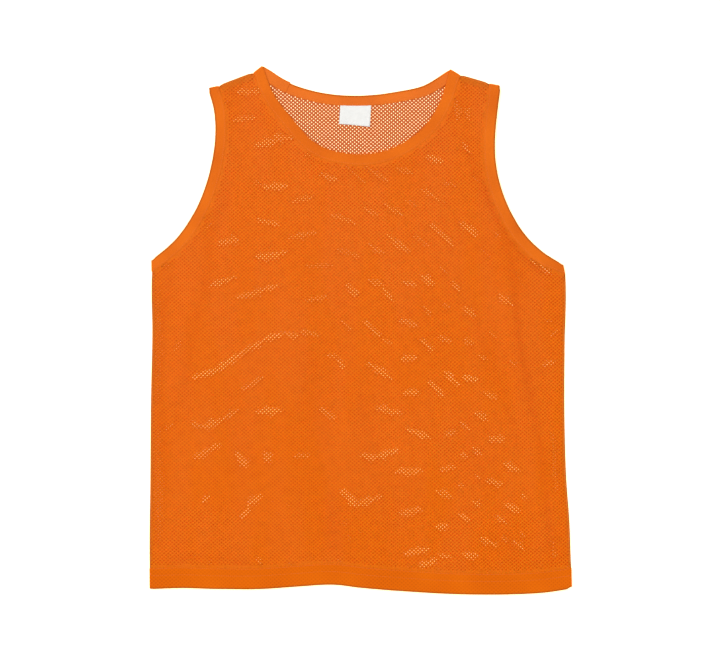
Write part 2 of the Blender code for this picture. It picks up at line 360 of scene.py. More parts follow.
free_hem = smooth_curve(HEM_EDGE, EDGE_STEP)
free_left = smooth_curve(ARMHOLE_LEFT, EDGE_STEP)
free_right = smooth_curve(ARMHOLE_RIGHT, EDGE_STEP)
side_left = smooth_curve(SIDE_LEFT, EDGE_STEP)
side_right = smooth_curve(SIDE_RIGHT, EDGE_STEP)
seam_hem = seam_line(free_hem, HEM_DEPTH, 1, HEM_FOLDS)
seam_left = seam_line(free_left, ARMHOLE_TAPE, 1, LEFT_FOLDS)
seam_right = seam_line(free_right, ARMHOLE_TAPE, -1, RIGHT_FOLDS)


def panel_edges(neck_rows, neck_tape):
    """A panel's cut edges: the sewn neck line, both shoulder lines, and the whole outline."""
    free_neck = smooth_curve(neck_rows, EDGE_STEP)
    seam_neck = seam_line(free_neck, neck_tape, -1, NECK_FOLDS)
    hem, left = tucked(free_hem, seam_hem), tucked(free_left, seam_left)
    right, neck = tucked(free_right, seam_right), tucked(free_neck, seam_neck)
    shoulder_left = shoulder_line(left[0], neck[0])
    shoulder_right = shoulder_line(neck[-1], right[0])
    upper = [right[::-1], shoulder_right[-2:0:-1], neck[::-1], shoulder_left[-2:0:-1], left]
    outline = np.vstack([hem, side_right[::-1], *upper, side_left])
    apart = np.hypot(*(outline - np.roll(outline, 1, axis=0)).T) > LEAST_STEP
    return seam_neck, shoulder_left, shoulder_right, outline[apart]


# Where the holes of front and back lie over each other, the white table shows through in small
# streaks. Columns: column and row of one end on the layout and of the other, width, clearness.
STREAKS = [
    (234, 92, 262, 90, 8, 1.0), (224, 104, 229, 101, 5, 0.7), (230, 121, 257, 117, 6, 0.9),
    (256, 146, 278, 140, 10, 1.0), (272, 137, 294, 138, 8, 1.0), (304, 156, 312, 152, 5, 0.8),
    (232, 151, 245, 156, 5, 0.5), (253, 180, 264, 188, 5, 0.7), (262, 187, 290, 186, 8, 1.0),
    (287, 203, 318, 195, 6, 0.8), (321, 174, 337, 180, 8, 0.9), (343, 164, 368, 185, 4, 0.7),
    (256, 219, 281, 225, 6, 0.9), (286, 238, 320, 231, 7, 0.8), (205, 229, 212, 222, 5, 0.7),
    (218, 244, 240, 238, 9, 0.9), (328, 213, 360, 225, 6, 0.8), (335, 248, 362, 257, 7, 0.7),
    (252, 258, 288, 252, 7, 1.0), (302, 266, 336, 265, 4, 0.7), (163, 266, 170, 264, 4, 0.6),
    (206, 287, 238, 276, 7, 0.9), (231, 300, 284, 283, 7, 0.9), (345, 285, 360, 295, 9, 0.9),
    (304, 300, 330, 296, 5, 0.8), (340, 320, 352, 330, 4, 0.7), (363, 165, 390, 182, 6, 0.8),
    (392, 166, 416, 174, 5, 0.8), (426, 155, 444, 163, 8, 1.0), (456, 98, 458, 122, 8, 0.85),
    (463, 142, 470, 154, 5, 0.9), (467, 108, 469, 120, 7, 0.8), (442, 181, 458, 186, 6, 0.7),
    (472, 174, 480, 183, 5, 0.6), (420, 187, 441, 201, 5, 0.8), (404, 198, 418, 208, 6, 0.7),
    (383, 203, 404, 216, 6, 0.8), (362, 207, 378, 216, 6, 0.8), (440, 200, 449, 207, 4, 0.6),
    (428, 222, 457, 248, 6, 0.9), (460, 221, 478, 237, 8, 1.0), (493, 229, 503, 238, 4, 0.7),
    (385, 233, 411, 253, 7, 0.9), (412, 234, 432, 247, 5, 0.7), (368, 243, 385, 255, 6, 0.8),
    (480, 246, 490, 257, 4, 0.6), (529, 257, 553, 275, 4, 1.0), (367, 279, 384, 286, 7, 0.8),
    (382, 287, 394, 302, 5, 0.9), (403, 282, 416, 285, 7, 0.9), (420, 275, 434, 284, 8, 1.0),
    (440, 267, 448, 272, 4, 0.7), (451, 281, 461, 292, 6, 0.9), (441, 302, 450, 308, 4, 0.7),
    (498, 293, 514, 306, 7, 0.9), (514, 266, 524, 290, 4, 0.5), (423, 306, 431, 315, 4, 0.8),
    (464, 307, 474, 315, 8, 0.9), (401, 319, 416, 325, 9, 0.85), (363, 319, 382, 338, 5, 0.9),
    (545, 319, 554, 322, 4, 0.6), (193, 377, 216, 371, 7, 1.0), (214, 371, 242, 352, 7, 1.0),
    (240, 353, 264, 340, 6, 0.9), (260, 341, 284, 333, 7, 1.0), (282, 333, 299, 336, 6, 0.9),
    (299, 331, 320, 335, 6, 0.8), (173, 351, 182, 340, 4, 0.6), (328, 355, 338, 358, 5, 0.8),
    (337, 358, 344, 368, 5, 0.9), (240, 391, 265, 375, 5, 0.8), (257, 412, 280, 410, 9, 1.0),
    (191, 421, 201, 427, 5, 0.8), (201, 428, 223, 420, 9, 0.85), (222, 420, 239, 409, 5, 0.8),
    (320, 407, 335, 419, 7, 0.8), (165, 430, 173, 423, 4, 0.6), (191, 459, 222, 443, 7, 0.8),
    (237, 453, 247, 467, 9, 0.9), (264, 461, 272, 454, 9, 0.9), (294, 457, 310, 455, 5, 0.7),
    (342, 489, 357, 507, 8, 0.85), (352, 507, 384, 495, 7, 0.85), (241, 518, 250, 507, 6, 0.9),
    (246, 506, 263, 494, 8, 0.9), (202, 502, 210, 496, 4, 0.8), (257, 556, 259, 563, 4, 0.6),
    (366, 361, 394, 380, 8, 0.9), (381, 338, 393, 343, 4, 0.7), (400, 359, 417, 356, 8, 0.9),
    (421, 339, 432, 350, 6, 0.9), (437, 335, 451, 342, 6, 0.8), (463, 339, 473, 343, 6, 0.8),
    (478, 356, 488, 360, 5, 0.8), (489, 332, 496, 338, 4, 0.7), (444, 371, 460, 386, 6, 1.0),
    (463, 376, 478, 381, 7, 1.0), (426, 379, 446, 397, 6, 0.9), (404, 392, 420, 393, 8, 0.9),
    (483, 392, 497, 398, 7, 0.8), (376, 408, 400, 413, 9, 0.85), (474, 412, 489, 420, 8, 0.85),
    (460, 422, 470, 430, 5, 0.8), (406, 429, 432, 438, 7, 0.9), (444, 435, 456, 433, 6, 0.8),
    (489, 438, 505, 440, 8, 0.9), (361, 455, 377, 457, 8, 0.9), (374, 457, 400, 450, 7, 0.9),
    (472, 446, 482, 456, 5, 0.8), (460, 452, 467, 457, 4, 0.8), (392, 472, 425, 470, 8, 0.85),
    (441, 470, 455, 467, 6, 0.8), (504, 464, 518, 470, 9, 0.9), (473, 474, 481, 480, 4, 0.7),
    (487, 480, 503, 485, 8, 0.85), (457, 485, 467, 486, 5, 0.7), (434, 490, 454, 498, 6, 0.8),
    (520, 493, 527, 500, 4, 0.8), (473, 501, 482, 507, 5, 0.8), (504, 504, 520, 510, 8, 0.9),
    (400, 513, 421, 509, 9, 0.8), (459, 514, 469, 520, 6, 0.9), (493, 514, 507, 523, 4, 0.8),
    (435, 527, 451, 525, 6, 0.9), (519, 532, 527, 537, 4, 0.6), (480, 537, 497, 546, 6, 0.9),
    (500, 538, 508, 541, 4, 0.7), (513, 540, 525, 551, 5, 0.8), (404, 555, 432, 548, 7, 0.9),
    (438, 555, 451, 557, 5, 0.8), (463, 555, 477, 555, 7, 0.9), (420, 566, 438, 560, 7, 0.9),
    (552, 425, 557, 500, 7, 0.55), (542, 366, 555, 361, 5, 0.9), (508, 361, 518, 365, 4, 0.7),
    (552, 540, 556, 560, 4, 0.6), (551, 336, 558, 330, 4, 0.7), (464, 82, 466, 87, 4, 0.7),
    (158, 272, 158, 420, 15, 0.52), (158, 410, 159, 556, 15, 0.50),
    (478, 90, 486, 95, 4, 0.7),
]
STREAK_TRIM = 0.12  # share of its length by which a streak is drawn in at each end
STREAK_SPREAD, STREAK_REACH = 3.5, 0.66  # points added to its width, and the share reached
CLEAREST = 0.85
MOTTLE = np.random.default_rng(23).uniform(0.0, 1.0, (9, 3))  # waves: direction, length, phase
MOTTLE_SHORTEST, MOTTLE_LONGER, MOTTLE_SLIP = 11.0, 14.0, 0.155


def mottled(points):
    """A slow uneven slip between the layers, which opens a few holes by a sliver."""
    slip = np.zeros(len(points))
    for turn, size, phase in MOTTLE:
        way = math.pi * turn
        pace = 2 * math.pi / (MOTTLE_SHORTEST + MOTTLE_LONGER * size)
        along = points[:, 0] * math.cos(way) + points[:, 1] * math.sin(way)
        slip += np.sin(along * pace + 6.3 * phase)
    return MOTTLE_SLIP * np.clip(0.45 + slip / 2.2, 0.0, 2.4)


def clearness(points):
    """How far the holes of the two layers lie over each other: 1 in a streak, 0 between streaks."""
    slip = mottled(points)
    clear = slip.copy()
    for x1, y1, x2, y2, width, share in STREAKS:
        start, end = np.array(on_cloth(x1, y1)), np.array(on_cloth(x2, y2))
        start, end = (
            a * (1 - STREAK_TRIM) + b * STREAK_TRIM for a, b in ((start, end), (end, start))
        )
        reach, run = (width + STREAK_SPREAD) * POINT * STREAK_REACH, end - start
        box = (np.minimum(start, end) - 2 * reach, np.maximum(start, end) + 2 * reach)
        near = ((points > box[0]) & (points < box[1])).all(axis=1)
        along = np.clip((points[near] - start) @ run / (run @ run), 0.0, 1.0)
        far = np.hypot(*(points[near] - start - along[:, None] * run).T)
        slim = 0.58 + 0.42 * np.sin(math.pi * along) + 0.10 * np.sin(7.0 * along + 0.3 * x1)
        ragged = 0.84 + 2.4 * slip[near]
        fading = 1 - ease(far / (reach * slim * ragged) - 0.12)
        clear[near] = np.maximum(clear[near], share * fading)
    return clear * CLEAREST


def knit_net(outline, slide, hole_size=1.0, evenness=None):
    """A panel of net, cut to the outline: its corners, its faces, and its lay in the knit."""
    low, high = outline.min(axis=0) - NET_MARGIN, outline.max(axis=0) + NET_MARGIN
    rows = np.arange(math.floor(low[1] / ROW_PITCH), math.ceil(high[1] / ROW_PITCH) + 1)
    columns = np.arange(math.floor(low[0] / HOLE_PITCH), math.ceil(high[0] / HOLE_PITCH) + 1)
    odd = rows % 2  # every other row stands half a pitch further along
    lay = np.empty((len(rows), len(columns), 2))
    lay[..., 0] = (columns[None, :] + 0.5 * odd[:, None]) * HOLE_PITCH
    lay[..., 1] = rows[:, None] * ROW_PITCH
    flat_lay = lay.reshape(-1, 2)
    shift = (1 - clearness(flat_lay))[:, None] * slide
    closed = np.vstack([outline, outline[:1]])
    holes = flat_lay[:, None, :] + HOLE_CORNERS[None] * hole_size + shift[:, None, :]
    far = nearest_on(flat_lay + shift, closed)[1]
    within = inside(flat_lay + shift, outline)
    near = within | (far < NEAR_EDGE)
    open_hole = within & (far > HOLE_TO_EDGE)
    if evenness:
        open_hole &= evenness(flat_lay + shift) < 0.5
    rim = near & (far < NET_MARGIN)
    corners = holes[rim].reshape(-1, 2)
    corner_in = inside(corners, outline)
    clamp_to, clamp_far = nearest_on(corners, closed)
    whole = (corner_in & (clamp_far > CORNER_TO_EDGE)).reshape(-1, 6).all(axis=1)
    open_hole[np.flatnonzero(rim)[~whole]] = False
    corners[~corner_in] = clamp_to[~corner_in]
    holes[rim] = corners.reshape(-1, 6, 2)

    # The webs between a hole and its neighbours above. Each end: cell, number of its corner.
    index = np.arange(len(flat_lay)).reshape(lay.shape[:2])
    j, i = np.meshgrid(np.arange(len(rows) - 2), np.arange(1, len(columns) - 1), indexing="ij")
    here, right_up, up = index[j, i], index[j + 1, i + odd[j]], index[j + 2, i]
    left_up = right_up - 1
    webs = [
        ((here, 0), (right_up, 4), (right_up, 3), (here, 1)),
        ((here, 2), (left_up, 0), (left_up, 5), (here, 3)),
        ((here, 1), (up, 5), (up, 4), (here, 2)),
        ((here, 1), (right_up, 3), (up, 5)),
        ((here, 2), (up, 4), (left_up, 0)),
    ]
    faces = []
    for ends in webs:
        keep = np.all([near[cells].ravel() for cells, _ in ends], axis=0)
        first, *others = ((cells * 6 + number).ravel()[keep] for cells, number in ends)
        faces += [np.stack([first, b, c], axis=1) for b, c in zip(others, others[1:])]
    shut = np.flatnonzero(near & ~open_hole) * 6
    faces += [np.stack([shut, shut + k, shut + k + 1], axis=1) for k in range(1, 5)]
    faces = np.concatenate(faces)
    points = holes.reshape(-1, 2)
    a, b, c = (points[faces[:, k]] for k in range(3))
    (ab_x, ab_y), (ac_x, ac_y) = (b - a).T, (c - a).T
    faces = faces[ab_x * ac_y - ab_y * ac_x > LEAST_FACE]
    used, faces = np.unique(faces, return_inverse=True)
    return points[used], faces.reshape(-1, 3), (points - np.repeat(shift, 6, axis=0))[used]


def add_piece(name, vertices, faces, finish, lay=None, run=None, **marks):
    """A piece of the bib, in millimetres. lay is where each corner stands in the knit, for the
    bake; run is how far along and around its strip each corner of each face lies. Each mark is a
    number at every corner: fold, below 0 for painted shade, deep in a crease or at an outer edge,
    and above 0 for painted light, high on a ridge or where light comes through a tape; clear, where
    the holes of both layers meet; even, where the knit lies close and is shut and gets painted
    light."""
    mesh = bpy.data.meshes.new(name)
    mesh.from_pydata((np.array(vertices, float) * MM).tolist(), [], [tuple(f) for f in faces])
    mesh.shade_smooth()
    mesh.materials.append(finish.material)
    if lay is not None:
        order = np.empty(len(mesh.loops), int)
        mesh.loops.foreach_get("vertex_index", order)
        layer = mesh.uv_layers.new(name="OFBake")
        layer.data.foreach_set("uv", (np.array(lay)[order] / LAY_SPAN + 0.5).ravel())
    if run is not None:
        layer = mesh.uv_layers.new(name="run")
        layer.data.foreach_set("uv", np.array(run, float).ravel())
    for mark, values in marks.items():
        mesh.attributes.new(mark, "FLOAT", "POINT").data.foreach_set("value", values)
    piece = placed(name, mesh)
    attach(piece, "root")
    return piece


def to_nearest_hole(across, up, weight_up=1.0):
    """How far a place is from the nearest hole of the knit, whose holes form two plain lattices."""
    far = []
    for shift in (0.5, 1.0):
        far_x, far_y = (((place / pitch + shift).to("FRACT") - 0.5) * pitch
                        for place, pitch in ((across, HOLE_PITCH), (up, 2 * ROW_PITCH)))
        far.append((far_x * far_x + far_y * far_y * weight_up).to("SQRT"))
    return far[0].to("MINIMUM", far[1])


def net_finish(name, shades, glow, dull=0.0):
    """Knitted mesh: strands of looped yarn, rounded off towards every hole, with painted shade at
    the hole edges and a little uneven in tone; on the front, painted shade in its creases and
    painted light on their ridges and shut strips. dull is how much darker it is made in the neck
    opening."""
    colour, dark, light = shades
    cloth = Finish(
        name, Sheen_Weight=0.12, Sheen_Roughness=0.5, Sheen_Tint=(1.0, 0.45, 0.12, 1.0),
        Specular_IOR_Level=0.1,
    )
    uv = cloth.node("UVMap", {"uv_map": "OFBake"})
    place = cloth.node("VectorMath", {"operation": "SCALE"}, Vector=uv, Scale=LAY_SPAN)
    across, up = (part - LAY_SPAN / 2 for part in cloth.parts(place))
    strand = cloth.between(to_nearest_hole(across, up, 1.15), 0.75, 1.65)
    loops = (up * 5.2).to("SINE") * (across * 5.8).to("SINE")
    patch = cloth.noise(place, 0.016, 1.0) * 0.35 + cloth.noise(place, 0.13, 2.0) * 0.65
    patch = cloth.between(patch, 0.36, 0.64)
    fine = cloth.noise(place, 0.9, 3.0)
    shut = 1.0 - cloth.mark("even")
    # Painted shade at the edges of the holes, where the strands round away, with a little uneven
    # tone.
    shadow = (1.0 - strand) * (patch * 0.5 + 0.5) * shut + (0.5 - fine) * 0.35
    drawn = cloth.node("VectorMath", {"operation": "MULTIPLY"}, _0=place, _1=(0.024, 0.007, 1.0))
    bands = cloth.between(cloth.noise(drawn, 1.0, 1.0), 0.36, 0.64)
    warmth = bands * 0.4 + cloth.between(up - across * 0.4, -400.0, 350.0) * 0.6
    shade = cloth.mix(warmth, colour, (colour[0] * 1.01, colour[1] * 1.03, 0.0175))
    shade = cloth.mix(shadow, shade, dark)
    # Painted shade on the strands in the streaks.
    shade = cloth.mix(cloth.mark("clear") * strand * 0.45, shade, STREAK_PAINTED_SHADE)
    # A lighter, uneven tone on the strands, partly a painted highlight on their tops.
    shade = cloth.mix(cloth.between(fine + loops * 0.12 + strand * 0.15, 0.5, 0.95), shade, light)
    if dull:
        # Darker in the oval of the neck opening.
        middle_x, middle_y, half_width, half_height = NECK_OVAL
        from_x, from_y = (across - middle_x) / half_width, (up - middle_y) / half_height
        in_neck = cloth.between((from_x * from_x + from_y * from_y).to("SQRT"), 1.06, 0.96)
        shade = cloth.mix(in_neck * dull, shade, NECK_DULL)
    else:
        # From the fold mark: painted shade deep in the creases, painted light high on their ridges.
        fold = cloth.mark("fold")
        shade = cloth.mix(fold * -0.2, shade, CREASE_PAINTED_SHADE)
        shade = cloth.mix(fold * 0.15, shade, RIDGE_PAINTED_LIGHT)
        # Painted light along the shut strips by the tapes and shoulders.
        shade = cloth.mix(cloth.mark("even") * 0.3, shade, SHUT_STRIP_PAINTED_LIGHT)
    cloth.feed(Base_Color=shade, Roughness=0.72 + fine * 0.2)
    cloth.relief(strand + loops * 0.22 + fine * 0.2, 0.35 * MM)
    cloth.let_through(glow, YARN_GLOW)
    return cloth


back_cloth = net_finish("back_mesh", BACK_SHADES, glow=0.2, dull=0.78)
_, shoulder_left_line, shoulder_right_line, back_outline = panel_edges(BACK_NECK, NECK_TAPE_BACK)
flat, faces, lay = knit_net(back_outline, BACK_SLIDE, BACK_HOLE_SIZE)
levels = np.full(len(flat), BACK_LEVEL)
back_net = add_piece(
    "back_net", np.column_stack([flat, levels]), faces, back_cloth, lay,
    clear=clearness(flat), even=np.zeros(len(flat)),
)
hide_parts("back_panel")

# ---- Neck label --------------------------------------------------------------------------------
# A small white woven label, folded in two and caught by its top in the back neck seam. It is left
# bare: only its satin weave, its closer woven edges and its lifted lower corner are made.
LABEL_CORNERS = ((-27.2, 299.4), (14.0, 299.7), (-28.8, 273.9), (12.2, 270.9))
LABEL_HALF_WALL, LABEL_COLUMNS, LABEL_ROWS = 0.22, 25, 15
LABEL_LEVEL, LABEL_STEP, LABEL_LIFT = 0.95, 0.75, 0.9  # at its seam, just below, lower corner
LABEL_WHITE, LABEL_GREY = (0.83, 0.83, 0.80), (0.70, 0.70, 0.68)


def steps_round(line):
    """The length from each point of a closed line to the next."""
    return np.linalg.norm(np.diff(line, axis=0, append=line[:1]), axis=1)


def skin(rings, closed):
    """Faces over a run of section rings, capped where the run has ends, and their place on it."""
    count, around = rings.shape[:2]
    along, girth = summed(steps_round(rings.mean(axis=1))), summed(steps_round(rings[0]))
    faces, run = [], []
    for i in range(count if closed else count - 1):
        for j in range(around):
            corners = [(i, j), (i + 1, j), (i + 1, j + 1), (i, j + 1)]
            faces.append([a % count * around + b % around for a, b in corners])
            run.append([(along[a], girth[b]) for a, b in corners])
    if not closed:
        last = (count - 1) * around
        faces += [list(range(around)), list(range(last + around - 1, last - 1, -1))]
        run += [[(along[0], g) for g in girth[:-1]], [(along[count - 1], g) for g in girth[-2::-1]]]
    vertices = rings.reshape(-1, 3)
    a, b, c = (vertices[[face[k] for face in faces]] for k in (0, 1, 2))
    if np.einsum("ij,ij->", a - vertices.mean(axis=0), np.cross(b - a, c - a)) < 0:
        faces, run = [face[::-1] for face in faces], [place[::-1] for place in run]
    return vertices, faces, [corner for place in run for corner in place]


def label_finish():
    """White satin ribbon: fine ridges across, faint lines along, closer at the two woven edges."""
    cloth = Finish("label_satin", Sheen_Weight=0.1, Specular_IOR_Level=0.4)
    place = cloth.node("TexCoord", None, 3)
    across, up = (part * 1000.0 for part in cloth.parts(place))
    weft = (up * (2 * math.pi / 0.42) + across * 0.6).to("SINE")
    warp = (across * (2 * math.pi / 0.36)).to("SINE")
    weave = weft * warp * 0.5 + weft * 0.35
    patches = cloth.noise(place, 160.0, 3.0)
    shade = cloth.between(weave * 0.25 + patches * 0.3, -0.1, 0.35)
    shade = cloth.mix(shade, LABEL_GREY, LABEL_WHITE)
    cloth.feed(Base_Color=shade, Roughness=0.5 + patches * 0.25)
    cloth.relief(weave, 0.06 * MM)
    cloth.let_through(0.12, LABEL_WHITE)
    return cloth


def label_rings():
    """The label row by row: flat at its seam, softly buckled, its lower right corner lifted."""
    top_left, top_right, low_left, low_right = (np.array(c) for c in LABEL_CORNERS)
    rings = []
    for v in np.linspace(0.0, 1.0, LABEL_ROWS):
        upper, lower = [], []
        for u in np.linspace(0.0, 1.0, LABEL_COLUMNS):
            top, low = top_left * (1 - u) + top_right * u, low_left * (1 - u) + low_right * u
            side = top * (1 - v) + low * v + (0.0, 0.5 * math.sin(3.0 * u + 1.0) * v)
            level = LABEL_LEVEL + LABEL_STEP * ease(v / 0.25)
            level += LABEL_LIFT * v**2 * (0.25 + 0.75 * u**3)
            level += 0.12 * math.sin(5.0 * u + 2.0 * v) * v
            wall = LABEL_HALF_WALL * (0.35 if u in (0.0, 1.0) or v in (0.0, 1.0) else 1.0)
            upper.append((*side, level + wall))
            lower.append((*side, level - wall))
        rings.append(upper + lower[::-1])
    return np.array(rings)


vertices, faces, run = skin(label_rings(), closed=False)
label = add_piece("label", vertices, faces, label_finish(), run=run)
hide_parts("neck_label")

# ---- Seams -------------------------------------------------------------------------------------
# Front and back are joined wrong sides out and turned, so every side and shoulder seam shows only
# as a narrow rolled edge. Its overlocked allowance lies inside and darkens the holes over it.
ROLL_SECTION = [
    (2.0, 1.86), (1.5, 2.02), (0.8, 2.06), (0.2, 1.95), (-0.3, 1.62), (-0.45, 1.2), (-0.36, 0.75),
    (0.1, 0.36), (0.8, 0.2), (1.5, 0.22), (2.0, 0.42), (1.6, 0.9), (1.6, 1.45),
]
ALLOWANCE_WALL, ALLOWANCE_LEVEL = 0.2, 1.1
RIM_PAINTED_SHADE = (0.20, 0.062, 0.008)  # painted shade along an outer edge, where it rounds away
SEAM_DARK, SEAM_LIGHT = (0.66, 0.115, 0.005), (0.86, 0.19, 0.010)
# How far each outer edge stands out of the cut.
PROUD_LEFT, PROUD_RIGHT, PROUD_HEM, PROUD_NECK = 0.4, 0.9, 0.9, 0.4


def with_painted_rim_shade(cloth, shade):
    """A colour with painted shade along an outer edge, where the fold mark is below 0."""
    return cloth.mix(cloth.mark("fold") * -0.8, shade, RIM_PAINTED_SHADE)


def seam_finish():
    """The same yarn, packed close in the rolled edge, with the overlock's cross threads."""
    cloth = Finish("seam_edge", Sheen_Weight=0.1, Sheen_Roughness=0.5, Specular_IOR_Level=0.1)
    run = cloth.node("UVMap", {"uv_map": "run"})
    along, around = cloth.parts(run)
    threads = (along * (2 * math.pi / 1.8) + around * 0.5).to("SINE") * 0.5 + 0.5
    uneven = cloth.noise(run, 0.35, 3.0)
    tone = threads * 0.45 + uneven * 0.6
    shade = cloth.mix(cloth.between(tone, 0.1, 0.9), SEAM_DARK, SEAM_LIGHT)
    cloth.feed(Base_Color=with_painted_rim_shade(cloth, shade), Roughness=0.75 + uneven * 0.15)
    cloth.relief(threads + uneven * 0.5, 0.25 * MM)
    return cloth


seam_cloth = seam_finish()


def add_seam(name, line, turn, allowance, proud=0.0):
    """The rolled edge along a seam, with its allowance as a second strip inside the bib."""
    inward = square_to(line, turn)
    line = line - inward * proud

    def rings(section):
        return np.array([[(*(p + n * d), z) for d, z in section] for p, n in zip(line, inward)])

    low, high = ALLOWANCE_LEVEL - ALLOWANCE_WALL, ALLOWANCE_LEVEL + ALLOWANCE_WALL
    outer_end = (allowance + 0.3, ALLOWANCE_LEVEL)
    strip = [(1.7, low), (allowance, low), outer_end, (allowance, high), (1.7, high)]
    vertices, faces, run = skin(rings(ROLL_SECTION), closed=False)
    more, more_faces, more_run = skin(rings(strip), closed=False)
    faces += [[k + len(vertices) for k in face] for face in more_faces]
    # Painted shade along the rolled outer edge of the seam.
    rim = [-1.0 if d < 0.15 else -0.8 if d < 0.9 else 0.0 for d, _ in ROLL_SECTION]
    rim = np.concatenate([np.tile(rim, len(line)), np.zeros(len(more))])
    vertices = np.vstack([vertices, more])
    seam = add_piece(name, vertices, faces, seam_cloth, run=run + more_run, fold=rim)
    return seam


SEAM_LEFT = [(-276.9, 78.0), *SIDE_LEFT, (-280.0, -318.0)]
SEAM_RIGHT = [(270.9, 76.0), *SIDE_RIGHT, (278.8, -318.0)]
seams = [
    add_seam("side_seam_left", smooth_curve(SEAM_LEFT, EDGE_STEP), 1, 3.0, PROUD_LEFT),
    add_seam("side_seam_right", smooth_curve(SEAM_RIGHT, EDGE_STEP), -1, 3.2, PROUD_RIGHT),
    add_seam("shoulder_seam_left", shoulder_left_line[1:-1], -1, 9.0),
    add_seam("shoulder_seam_right", shoulder_right_line[1:-1], -1, 9.0),
]

# ---- Front panel -------------------------------------------------------------------------------
# The same mesh with a deep scoop neck, laid on the back panel. It rises to its bindings, and the
# few soft folds of a bib smoothed out by hand run down it.
FRONT_NECK = [
    (-130.2, 350.4), (-117.5, 317.5), (-90.4, 280.5), (-58.0, 247.6), (-20.0, 235.2),
    (18.0, 235.2), (55.0, 248.3), (88.0, 275.0), (107.5, 309.0), (118.2, 346.0),
]
FRONT_LEVEL, TAPE_LEVEL = 1.8, 2.9
EDGE_LEVEL = TAPE_LEVEL + 0.3  # where the front runs into its bindings
# How far from an edge the front comes down, a corner ends, and folds and creases run out.
TAPE_LIFT_REACH, CORNER_REACH, FOLD_EDGE_REACH, CREASE_EDGE_REACH = 26.0, 14.0, 30.0, 8.0
# The knit is drawn close up to this far from an edge, and eases over so much more.
CLOSE_BY_TAPE, CLOSE_BY_SHOULDER = (1.8, 3.4), (6.0, 4.0)

# Soft folds. Columns: top end across and up, bottom end across and up, half width, height.
SOFT_FOLDS = [
    (-21.0, -5.0, -18.0, -316.0, 17.0, 2.0),
    (-92.0, 130.0, -97.0, -300.0, 26.0, 1.3),
    (-204.0, 95.0, -196.0, -300.0, 28.0, 1.2),
    (62.0, 10.0, 84.0, -300.0, 32.0, 1.4),
    (142.0, 190.0, 226.0, -130.0, 26.0, 1.4),
    (84.0, 190.0, 150.0, -40.0, 24.0, 1.1),
]
SOFT_FOLD_FADE = 45.0

# Creases along which the front lies a little lower or higher. Each: depth (below 0) or height,
# half width in millimetres, and the line it follows on the layout.
CREASES = [
    (-0.7, 5.0, [(461, 132), (467, 150), (476, 170), (484, 186), (492, 205), (501, 225)]),
    (-1.0, 5.0, [
        (482, 182), (492, 205), (503, 228), (513, 243), (524, 256), (535, 266), (552, 278),
    ]),
    (-0.9, 5.5, [
        (504, 232), (508, 250), (512, 265), (515, 288), (517, 315), (520, 342), (525, 372),
        (531, 402), (538, 432), (542, 462), (546, 492), (549, 522), (551, 560),
    ]),
    (0.8, 8.0, [
        (494, 238), (500, 270), (504, 312), (508, 350), (516, 390), (524, 430), (530, 470),
        (534, 510), (538, 562),
    ]),
    (-0.4, 7.0, [(470, 298), (487, 350), (497, 382), (511, 420), (521, 466)]),
    (-0.6, 8.0, [(500, 528), (510, 545), (518, 566)]),
    (-0.5, 11.0, [(364, 382), (368, 430), (372, 462), (380, 492)]),
    (-0.4, 13.0, [(384, 500), (386, 566)]),
    (-0.6, 8.0, [
        (228, 184), (226, 202), (219, 218), (211, 236), (208, 262), (204, 290), (194, 325),
        (188, 358), (184, 390), (179, 412),
    ]),
    (0.8, 9.0, [
        (177, 246), (184, 272), (186, 296), (179, 322), (175, 348), (172, 380), (169, 408),
    ]),
    (-0.5, 7.0, [
        (166, 268), (169, 286), (165, 312), (161, 352), (161, 402), (165, 442), (168, 478),
    ]),
    (-0.5, 15.0, [(313, 340), (312, 400), (320, 430), (318, 470)]),
    (-0.7, 18.0, [(326, 480), (332, 530), (342, 568)]),
    (-0.5, 5.0, [(158, 563), (200, 557), (230, 561), (256, 566)]),
    (-0.4, 5.0, [(462, 566), (486, 563)]),
    (0.5, 9.0, [(357, 352), (350, 390), (344, 424), (343, 452)]),
    (0.5, 10.0, [(395, 300), (392, 380), (396, 470)]),
    (-0.4, 12.0, [(450, 255), (455, 275), (465, 305)]),
    (-0.4, 12.0, [(460, 392), (470, 440), (486, 478), (492, 510)]),
]
CREASE_DEPTH = 0.55


def soft_folds_at(points):
    height = np.zeros(len(points))
    for top_x, top_y, low_x, low_y, half_width, crest in SOFT_FOLDS:
        top = np.array([top_x, top_y])
        run = np.array([low_x, low_y]) - top
        length = math.hypot(*run)
        along = (points - top) @ run / length
        across = np.hypot(*(points - top - np.outer(along / length, run)).T)
        fade = ease(along / SOFT_FOLD_FADE) * ease((length - along) / SOFT_FOLD_FADE)
        height += crest * fade * np.exp(-((across / half_width) ** 2))
    return height


def creases_at(points):
    """How far down, below 0, or up, above 0, each point lies in the creases."""
    total = np.zeros(len(points))
    for depth, half_width, way in CREASES:
        line = smooth_curve([on_cloth(*spot) for spot in way], 8.0)
        low, high = line.min(axis=0) - 3 * half_width, line.max(axis=0) + 3 * half_width
        near = ((points > low) & (points < high)).all(axis=1)
        spot, far = nearest_on(points[near], line)
        to_end = np.minimum(np.hypot(*(spot - line[0]).T), np.hypot(*(spot - line[-1]).T))
        fade = 0.25 + 0.75 * ease(to_end / (3.5 * half_width))
        total[near] += depth * fade * np.exp(-((far / half_width) ** 2))
    return np.clip(total, -1.2, 1.2)


front_neck_seam, _, _, front_outline = panel_edges(FRONT_NECK, NECK_TAPE_FRONT)
bound_edges = [front_neck_seam, seam_left, seam_right, seam_hem]
plain_edges = [side_left, side_right, shoulder_left_line, shoulder_right_line]


def nearest_of(points, lines):
    return np.min([nearest_on(points, line)[1] for line in lines], axis=0)


def close_by(points, edges, reach, over):
    """1 up to a reach from the edges, then easing to 0."""
    return 1 - ease((nearest_of(points, edges) - reach) / over)


